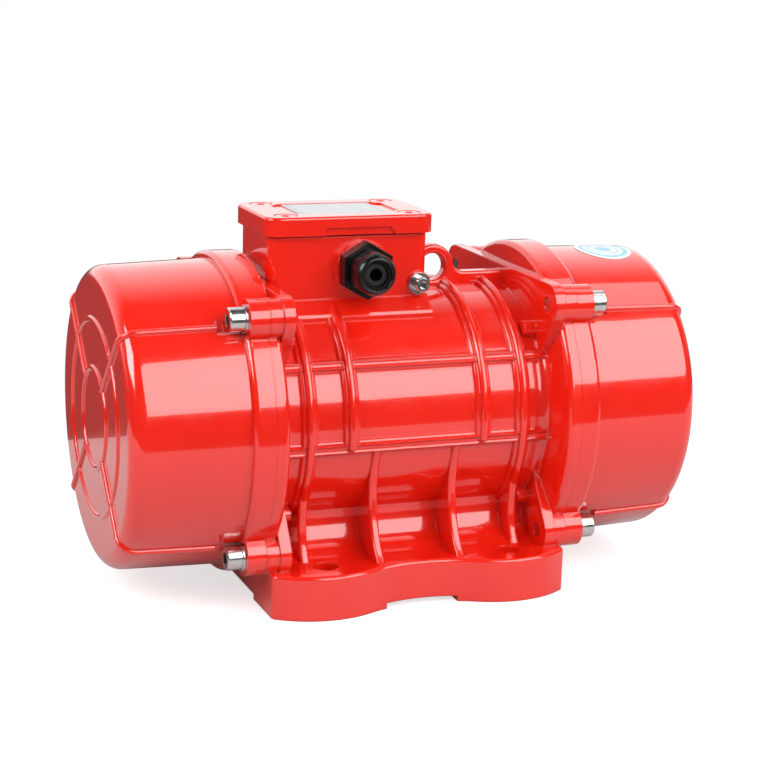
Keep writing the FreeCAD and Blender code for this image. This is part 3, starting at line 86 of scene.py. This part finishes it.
# surroundings: strengths by kind of ray, and where on the sphere of directions they change
WHITE = (1.0, 1.0, 1.0, 1.0)
WORLD_AMBIENT = 0.52
WORLD_GLOSS_BEHIND = 1.15
WORLD_GLOSS_ELSEWHERE = 0.07
WORLD_BEHIND = (0.1, 0.75)
WORLD_HORIZON = (-0.03, 0.06)

# floor: extent and glow distances in metres
FLOOR_LEFT, FLOOR_RIGHT = -0.9, 1.0
FLOOR_FRONT, FLOOR_REAR = -0.5, 0.3
FLOOR_GAP = 0.0002
FLOOR_DARK, FLOOR_LIGHT = (0.5, 0.5, 0.5, 1.0), (0.54, 0.54, 0.54, 1.0)
FLOOR_GLOW_REACH = (0.2, 0.6)
FLOOR_GLOW = (0.68, 1.0)
FLOOR_MIRRORED = 0.04

# the middle of a noise pattern, which carries its contrast
SOFT_CONTRAST = (0.3, 0.7)
CRISP_CONTRAST = (0.35, 0.65)


# ---------------------------------------------------------------- node helpers
class Graph:
    """Short names for building one material's node tree."""

    def __init__(self, name):
        self.material = bpy.data.materials.new(name)
        self.material.use_nodes = True
        self.tree = self.material.node_tree
        self.shader = self.tree.nodes["Principled BSDF"]
        self.place = self.add("ShaderNodeTexCoord").outputs["Object"]

    def add(self, kind, **settings):
        node = self.tree.nodes.new(kind)
        for key, value in settings.items():
            setattr(node, key, value)
        return node

    def link(self, source, target):
        self.tree.links.new(source, target)

    def fill(self, socket, value):
        """Link a socket, or set it where the value is a constant."""
        if isinstance(value, bpy.types.NodeSocket):
            self.link(value, socket)
        else:
            socket.default_value = value

    def math(self, operation, first, second=0.0):
        node = self.add("ShaderNodeMath", operation=operation)
        self.fill(node.inputs[0], first)
        self.fill(node.inputs[1], second)
        return node.outputs[0]

    def axes(self):
        """The three coordinates, in metres."""
        node = self.add("ShaderNodeSeparateXYZ")
        self.link(self.place, node.inputs[0])
        return node.outputs

    def distance(self, first, second):
        squares = [self.math("MULTIPLY", value, value) for value in (first, second)]
        return self.math("SQRT", self.math("ADD", *squares))

    def band(self, value, low, high, soft):
        """1 between two limits, 0 outside them, with soft edges."""
        rise = self.spread(value, low - soft, low + soft, 0.0, 1.0)
        fall = self.spread(value, high - soft, high + soft, 1.0, 0.0)
        return self.math("MULTIPLY", rise, fall)

    def noise(self, scale, detail=3.0, stretch=None):
        """Cloudy pattern, scale in cells per metre."""
        node = self.add("ShaderNodeTexNoise")
        node.inputs["Scale"].default_value = scale
        node.inputs["Detail"].default_value = detail
        source = self.place
        if stretch:
            mapping = self.add("ShaderNodeMapping")
            mapping.inputs["Scale"].default_value = stretch
            self.link(source, mapping.inputs["Vector"])
            source = mapping.outputs["Vector"]
        self.link(source, node.inputs["Vector"])
        return node.outputs["Fac"]

    def spread(self, value, low, high, to_low, to_high):
        """Map a value from one range to another."""
        node = self.add("ShaderNodeMapRange")
        for key, number in (("From Min", low), ("From Max", high),
                            ("To Min", to_low), ("To Max", to_high)):
            node.inputs[key].default_value = number
        self.link(value, node.inputs["Value"])
        return node.outputs["Result"]

    def blend(self, factor, first, second):
        node = self.add("ShaderNodeMix", data_type="RGBA")
        self.fill(node.inputs["Factor"], factor)
        self.fill(node.inputs[6], first)
        self.fill(node.inputs[7], second)
        return node.outputs[2]

    def bump(self, height, strength, distance, normal):
        node = self.add("ShaderNodeBump")
        node.inputs["Strength"].default_value = strength
        node.inputs["Distance"].default_value = distance
        self.link(height, node.inputs["Height"])
        self.link(normal, node.inputs["Normal"])
        return node.outputs["Normal"]

    def rounded(self, radius):
        """Normal that rounds sharp edges by a small radius."""
        node = self.add("ShaderNodeBevel", samples=6)
        node.inputs["Radius"].default_value = radius
        return node.outputs["Normal"]

    def finish(self, color, roughness, normal, **fixed):
        """Wire the shader; further inputs are set by name, such as coat_ior for Coat IOR."""
        self.fill(self.shader.inputs["Base Color"], color)
        self.fill(self.shader.inputs["Roughness"], roughness)
        self.link(normal, self.shader.inputs["Normal"])
        for key, value in fixed.items():
            title = key.replace("_", " ").title().replace("Ior", "IOR")
            self.shader.inputs[title].default_value = value
        return self.material


def srgb(red, green, blue):
    """Linear colour from 0-255 screen values."""
    def channel(value):
        value /= 255
        return value / 12.92 if value <= 0.04045 else ((value + 0.055) / 1.055) ** 2.4
    return (channel(red), channel(green), channel(blue), 1.0)


# ---------------------------------------------------------------- materials
def gloss_paint(name, wave, edge):
    """Thick gloss enamel; wave is how uneven the casting under it is."""
    g = Graph(name)
    clouds = g.spread(g.noise(scale=22.0, detail=4.0), *SOFT_CONTRAST, 0.0, 1.0)
    color = g.blend(clouds, srgb(226, 28, 12), srgb(233, 33, 15))
    roughness = g.spread(g.noise(scale=90.0), *SOFT_CONTRAST, 0.12, 0.2)
    slow = g.bump(g.noise(scale=75.0, detail=2.0), wave, 0.0008, g.rounded(edge))
    return g.finish(color, roughness, slow, coat_weight=1.0, coat_roughness=0.03, coat_ior=1.6)


def metal(name, light, dark, rough, grain=(1.0, 1.0, 1.0), scale=700.0):
    """Bare or plated metal with a fine grain, stretched along the turning or grinding marks."""
    g = Graph(name)
    pattern = g.noise(scale, detail=4.0, stretch=grain)
    color = g.blend(g.spread(pattern, *CRISP_CONTRAST, 0.0, 1.0), light, dark)
    roughness = g.spread(g.noise(scale=240.0), *SOFT_CONTRAST, rough - 0.05, rough + 0.07)
    normal = g.bump(pattern, 0.05, 0.00005, g.rounded(0.0003))
    return g.finish(color, roughness, normal, metallic=1.0)


def dull(name, light, dark, rough, scale=500.0, bump=0.15):
    """Plastic, rubber or varnish."""
    g = Graph(name)
    pattern = g.noise(scale, detail=4.0)
    color = g.blend(g.spread(pattern, *SOFT_CONTRAST, 0.0, 1.0), light, dark)
    roughness = g.spread(g.noise(scale=160.0), *SOFT_CONTRAST, rough - 0.07, rough + 0.07)
    normal = g.bump(pattern, bump, 0.0001, g.rounded(0.0004))
    return g.finish(color, roughness, normal)


def blank_plate(name):
    """Brushed aluminium plate with a printed border and empty rows."""
    row_pitch, line_half_width, line_blur = 0.003, 0.00016, 0.00005
    g = Graph(name)
    low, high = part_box("data_plate")
    x, y, _ = g.axes()
    along = g.math("SUBTRACT", x, (low[0] + high[0]) / 2)
    across = g.math("SUBTRACT", y, (low[1] + high[1]) / 2)
    half_along, half_across = (high[0] - low[0]) / 2, (high[1] - low[1]) / 2
    # 0 at the plate's centre, 1 along its edge
    side = g.math("MAXIMUM", g.math("DIVIDE", g.math("ABSOLUTE", along), half_along),
                  g.math("DIVIDE", g.math("ABSOLUTE", across), half_across))
    border = g.band(side, 0.9, 0.925, 0.006)
    rows = g.math("PINGPONG", g.math("ADD", across, row_pitch), row_pitch)
    rows = g.math("MULTIPLY", g.band(rows, -0.001, line_half_width, line_blur),
                  g.spread(side, 0.85, 0.86, 1.0, 0.0))
    ink = g.math("MAXIMUM", border, rows)
    grain = g.noise(scale=160.0, detail=4.0, stretch=(1.0, 22.0, 1.0))
    bare = g.blend(g.spread(grain, *CRISP_CONTRAST, 0.0, 1.0),
                   srgb(214, 216, 219), srgb(196, 199, 203))
    color = g.blend(g.math("MULTIPLY", ink, 0.75), bare, srgb(92, 96, 104))
    roughness = g.spread(grain, *SOFT_CONTRAST, 0.24, 0.36)
    normal = g.bump(grain, 0.05, 0.00005, g.rounded(0.0003))
    return g.finish(color, roughness, normal, metallic=0.4)


def ringed_label(name):
    """White film with plain pale-blue rings."""
    blur = 0.02
    g = Graph(name)
    low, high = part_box("cover_sticker")
    x, y, _ = g.axes()
    radius = (high[0] - low[0]) / 2
    reach = g.math("DIVIDE", g.distance(g.math("SUBTRACT", x, (low[0] + high[0]) / 2),
                                        g.math("SUBTRACT", y, (low[1] + high[1]) / 2)), radius)
    wide = g.band(reach, 0.72, 0.86, blur)
    thin = g.band(reach, 0.5, 0.56, blur)
    disc = g.band(reach, -1.0, 0.3, blur)
    ink = g.math("MAXIMUM", wide, g.math("MAXIMUM", thin, disc))
    tone = g.spread(g.noise(scale=120.0), *SOFT_CONTRAST, 0.75, 0.95)
    color = g.blend(g.math("MULTIPLY", ink, tone), srgb(226, 234, 238), srgb(104, 190, 218))
    roughness = g.spread(g.noise(scale=160.0), *SOFT_CONTRAST, 0.22, 0.32)
    normal = g.bump(g.noise(scale=300.0), 0.05, 0.0001, g.rounded(0.0001))
    return g.finish(color, roughness, normal)


MATERIALS = {
    "painted_casting": gloss_paint("gloss_paint_on_casting", wave=0.22, edge=0.0015),
    "zinc_plated_steel": metal(
        "zinc_plated_steel", srgb(222, 222, 220), srgb(206, 207, 207), rough=0.2),
    "black_rubber": dull("black_rubber", srgb(13, 13, 14), srgb(20, 20, 21), rough=0.5),
    "grey_iron": metal(
        "grey_iron", srgb(132, 131, 129), srgb(108, 107, 106), rough=0.42,
        grain=(1, 6, 6), scale=260.0),
    "bearing_steel": metal(
        "bearing_steel", srgb(205, 206, 208), srgb(180, 182, 185), rough=0.18,
        grain=(8, 1, 1), scale=400.0),
    "brass_cage": metal("brass_cage", srgb(212, 178, 110), srgb(186, 150, 84), rough=0.26),
    "spring_steel": metal("spring_steel", srgb(96, 97, 100), srgb(74, 75, 78), rough=0.34),
    "black_bolt_steel": metal(
        "black_bolt_steel", srgb(62, 62, 64), srgb(44, 44, 46), rough=0.36),
    "lamination_steel": metal(
        "lamination_steel", srgb(150, 152, 155), srgb(104, 106, 110), rough=0.38,
        grain=(40, 1, 1), scale=60.0),
    "enamelled_copper": dull(
        "enamelled_copper", srgb(166, 84, 42), srgb(122, 58, 28), rough=0.35, scale=300.0),
    "cast_aluminium": metal(
        "cast_aluminium", srgb(206, 207, 209), srgb(178, 180, 183), rough=0.36),
    "black_plastic": dull(
        "black_plastic", srgb(14, 12, 14), srgb(21, 19, 21), rough=0.24, scale=800.0, bump=0.05),
    "plate_aluminium": blank_plate("plate_aluminium"),
    "label_film": ringed_label("label_film"),
}
SMOOTH_PAINT = gloss_paint("gloss_paint_on_covers", wave=0.05, edge=0.0006)

slot_of = {row["node"]: row["material_slot"] for row in frame["record"]["subparts"]}
for name, item in nodes.items():
    item.data.materials.clear()
    item.data.materials.append(MATERIALS[slot_of[name]])
for name in ("left_cover", "right_cover", "terminal_lid"):
    nodes[name].data.materials[0] = SMOOTH_PAINT


# ---------------------------------------------------------------- replaced pieces
def add_piece(name, mesh, slot, body="motor_body"):
    item = bpy.data.objects.new(name, mesh)
    scene.collection.objects.link(item)
    mesh.materials.append(MATERIALS[slot])
    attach(item, body)
    return item


def add_rings(build, steps, flats, profile, place):
    """Ring of vertices for each (distance along, radius, share of the flats) in a profile.

    Flats is half the width across them in parts of the radius; place turns
    distances along, across and up into a point.
    """
    rings = []
    for along, radius, share in profile:
        ring = []
        for step in range(steps):
            angle = 2 * math.pi * step / steps
            off_middle = (angle + math.pi / 6) % (math.pi / 3) - math.pi / 6
            flat = min(1.0, flats / math.cos(off_middle))
            reach = radius * (1 + (flat - 1) * share)
            ring.append(build.verts.new(place(
                along, reach * math.cos(angle), reach * math.sin(angle))))
        rings.append(ring)
    return rings


def join_rings(build, firsts, seconds):
    """Walls of quads between pairs of rings."""
    for first, second in zip(firsts, seconds):
        for step in range(len(first)):
            after = (step + 1) % len(first)
            build.faces.new((first[step], first[after], second[after], second[step]))


def finished_mesh(build, name):
    bmesh.ops.recalc_face_normals(build, faces=build.faces)
    mesh = bpy.data.meshes.new(name)
    build.to_mesh(mesh)
    build.free()
    return mesh


def make_cap_nut():
    """Domed nut with six soft flats and a ring of clamping fingers inside its mouth."""
    low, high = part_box("gland_nut")
    centre = Vector(((low[0] + high[0]) / 2, high[1], (low[2] + high[2]) / 2))
    outside, length = (high[0] - low[0]) / 2, high[1] - low[1]
    steps = 96
    # distance from the back in parts of the length, radius in parts of the outside,
    # share of the flats; the outline closes on itself through the mouth
    profile = (
        (0.43, 0.6, 0.0), (0.0, 0.78, 0.0), (0.0, 0.95, 1.0), (0.03, 0.985, 1.0),
        (0.06, 1.0, 1.0), (0.3, 1.0, 1.0), (0.5, 1.0, 1.0), (0.6, 0.995, 0.8),
        (0.7, 0.975, 0.45), (0.8, 0.93, 0.15), (0.88, 0.885, 0.0), (0.945, 0.83, 0.0),
        (0.985, 0.775, 0.0), (1.0, 0.735, 0.0), (0.995, 0.7, 0.0), (0.97, 0.675, 0.0),
        (0.93, 0.662, 0.0), (0.7, 0.655, 0.0))

    def place(along, across, up):
        return centre + Vector((across, -along, up))

    build = bmesh.new()
    rings = add_rings(build, steps, 0.925, [
        (length * reach, outside * part, share) for reach, part, share in profile], place)
    join_rings(build, rings, rings[1:] + rings[:1])

    # fingers: wedges that taper inwards, from their roots to their tips
    fingers, inner, outer = 32, 0.5, 0.66
    inner_half_width, outer_half_width = 0.3, 0.36
    wedge_faces = ((0, 1, 3, 2), (4, 6, 7, 5), (0, 4, 5, 1),
                   (2, 3, 7, 6), (0, 2, 6, 4), (1, 5, 7, 3))
    for index in range(fingers):
        corners = []
        for reach, near in ((0.73, inner), (0.86, inner + 0.05)):
            for part, half_width in ((near, inner_half_width), (outer, outer_half_width)):
                for side in (-1, 1):
                    angle = 2 * math.pi * (index + 0.5 + side * half_width) / fingers
                    radius = outside * part
                    corners.append(build.verts.new(place(
                        length * reach, radius * math.cos(angle), radius * math.sin(angle))))
        for face in wedge_faces:
            build.faces.new([corners[corner] for corner in face])

    mesh = finished_mesh(build, "gland_cap_nut")
    for face in mesh.polygons:
        face.use_smooth = face.index < steps * len(profile)
    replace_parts(add_piece("gland_cap_nut", mesh, "black_plastic"), "gland_nut")


def make_lid_screws():
    """Four low-headed socket screws that fill their counterbores, painted over with the lid."""
    low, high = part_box("lid_screws")
    sunk, inset = 0.00012, 0.0045
    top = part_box("terminal_lid")[1][2] - sunk
    steps, shank, head, socket = 48, 0.0025, 0.0061, 0.0023
    # height from the head's face, radius, share of the socket's flats; from tip to socket floor
    profile = (
        (-0.019, 0.0018, 0.0), (-0.0185, shank, 0.0), (-0.0055, shank, 0.0),
        (-0.0055, 0.0058, 0.0), (-0.0052, head, 0.0), (-0.0005, head, 0.0),
        (-0.00015, head - 0.0002, 0.0), (-0.00004, head - 0.0006, 0.0), (0.0, 0.0036, 0.0),
        (-0.0001, socket + 0.0002, 1.0), (-0.0004, socket, 1.0), (-0.0026, socket, 1.0),
        (-0.0031, 0.0006, 0.0))
    build = bmesh.new()
    for x in (low[0] + inset, high[0] - inset):
        for y in (low[1] + inset, high[1] - inset):
            def place(height, across, up):
                return (x + across, y + up, top + height)

            rings = add_rings(build, steps, 0.9, profile, place)
            join_rings(build, rings, rings[1:])
            build.faces.new(rings[0])
            build.faces.new(rings[-1])
    item = add_piece("lid_screw_set", finished_mesh(build, "lid_screw_set"), "painted_casting")
    item.data.materials[0] = SMOOTH_PAINT
    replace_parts(item, "lid_screws")


make_cap_nut()
make_lid_screws()


# ---------------------------------------------------------------- floor, light and camera
def studio_floor():
    """Pale floor that keeps shadows and runs out to white far from the object."""
    g = Graph("studio_floor")
    paths = g.add("ShaderNodeLightPath")
    tint = g.blend(g.noise(scale=3.0), FLOOR_DARK, FLOOR_LIGHT)
    g.fill(g.shader.inputs["Base Color"], tint)
    g.shader.inputs["Roughness"].default_value = 0.9
    g.shader.inputs["Specular IOR Level"].default_value = 0.1
    x, y, _ = g.axes()
    direct = g.math("MAXIMUM", paths.outputs["Is Camera Ray"],
                    paths.outputs["Is Transmission Ray"])
    direct = g.math("MULTIPLY", direct, g.spread(
        g.distance(x, y), *FLOOR_GLOW_REACH, *FLOOR_GLOW))
    mirrored = g.math("MULTIPLY", paths.outputs["Is Glossy Ray"], FLOOR_MIRRORED)
    g.shader.inputs["Emission Color"].default_value = WHITE
    g.link(g.math("MAXIMUM", direct, mirrored), g.shader.inputs["Emission Strength"])
    level = cad_box[0][2] - FLOOR_GAP
    corners = [(FLOOR_LEFT, FLOOR_FRONT, level), (FLOOR_RIGHT, FLOOR_FRONT, level),
               (FLOOR_RIGHT, FLOOR_REAR, level), (FLOOR_LEFT, FLOOR_REAR, level)]
    mesh = bpy.data.meshes.new("studio_floor")
    mesh.from_pydata(corners, [], [(0, 1, 2, 3)])
    mesh.materials.append(g.material)
    floor = bpy.data.objects.new("studio_floor", mesh)
    scene.collection.objects.link(floor)


def studio_world():
    """White to the camera; for gloss, white behind the object and dim in front and overhead."""
    world = bpy.data.worlds.new("studio")
    scene.world = world
    world.use_nodes = True
    tree = world.node_tree
    background = tree.nodes["Background"]
    paths = tree.nodes.new("ShaderNodeLightPath")
    sight = tree.nodes.new("ShaderNodeTexCoord")
    split = tree.nodes.new("ShaderNodeSeparateXYZ")
    tree.links.new(sight.outputs["Generated"], split.inputs[0])

    def ranged(value, low, high, to_low, to_high):
        node = tree.nodes.new("ShaderNodeMapRange")
        node.interpolation_type = "SMOOTHSTEP"
        for key, number in (("From Min", low), ("From Max", high),
                            ("To Min", to_low), ("To Max", to_high)):
            node.inputs[key].default_value = number
        tree.links.new(value, node.inputs["Value"])
        return node.outputs["Result"]

    def combined(operation, first, second):
        node = tree.nodes.new("ShaderNodeMath")
        node.operation = operation
        for socket, value in zip(node.inputs, (first, second)):
            if isinstance(value, float):
                socket.default_value = value
            else:
                tree.links.new(value, socket)
        return node.outputs[0]

    behind = ranged(split.outputs["Y"], *WORLD_BEHIND, 0.0, WORLD_GLOSS_BEHIND)
    above = ranged(split.outputs["Z"], *WORLD_HORIZON, 0.0, 1.0)
    gloss = combined("MAXIMUM", combined("MULTIPLY", behind, above), WORLD_GLOSS_ELSEWHERE)
    mirrored = combined("MULTIPLY", gloss, paths.outputs["Is Glossy Ray"])
    direct = combined("MAXIMUM", paths.outputs["Is Camera Ray"],
                      paths.outputs["Is Transmission Ray"])
    ambient = combined("MULTIPLY", paths.outputs["Is Diffuse Ray"], WORLD_AMBIENT)
    strength = combined("MAXIMUM", combined("MAXIMUM", direct, mirrored), ambient)
    tree.links.new(strength, background.inputs["Strength"])
    background.inputs["Color"].default_value = WHITE


def softbox(name, azimuth, elevation, distance, width, height, radiance):
    """Soft lamp at a direction from its target; azimuth runs from the front to the right."""
    turn, tilt = math.radians(azimuth), math.radians(elevation)
    place = LAMP_TARGET + distance * Vector((
        math.sin(turn) * math.cos(tilt), -math.cos(turn) * math.cos(tilt), math.sin(tilt)))
    lamp = bpy.data.lights.new(name, "AREA")
    lamp.shape = "RECTANGLE"
    lamp.size = width
    lamp.size_y = height
    lamp.energy = radiance * math.pi * width * height
    item = bpy.data.objects.new(name, lamp)
    scene.collection.objects.link(item)
    item.location = place
    item.rotation_euler = (LAMP_TARGET - place).to_track_quat("-Z", "Y").to_euler()


def place_camera():
    yaw, pitch, roll = (math.radians(angle) for angle in (CAMERA_YAW, CAMERA_PITCH, CAMERA_ROLL))
    ahead = Vector((math.sin(yaw) * math.cos(pitch), math.cos(yaw) * math.cos(pitch),
                    -math.sin(pitch)))
    side = Vector((math.cos(yaw), -math.sin(yaw), 0.0))
    up = side.cross(ahead)
    right = math.cos(roll) * side + math.sin(roll) * up
    top = -math.sin(roll) * side + math.cos(roll) * up
    data = bpy.data.cameras.new("camera")
    data.lens = CAMERA_LENS
    data.sensor_width = SENSOR_WIDTH
    camera = bpy.data.objects.new("camera", data)
    scene.collection.objects.link(camera)
    turn = Matrix((right, top, -ahead)).transposed().to_4x4()
    camera.matrix_world = Matrix.Translation(CAMERA_PLACE) @ turn
    scene.camera = camera


studio_floor()
studio_world()
for settings in SOFTBOXES:
    softbox(**settings)
place_camera()
scene.view_settings.view_transform = "Standard"
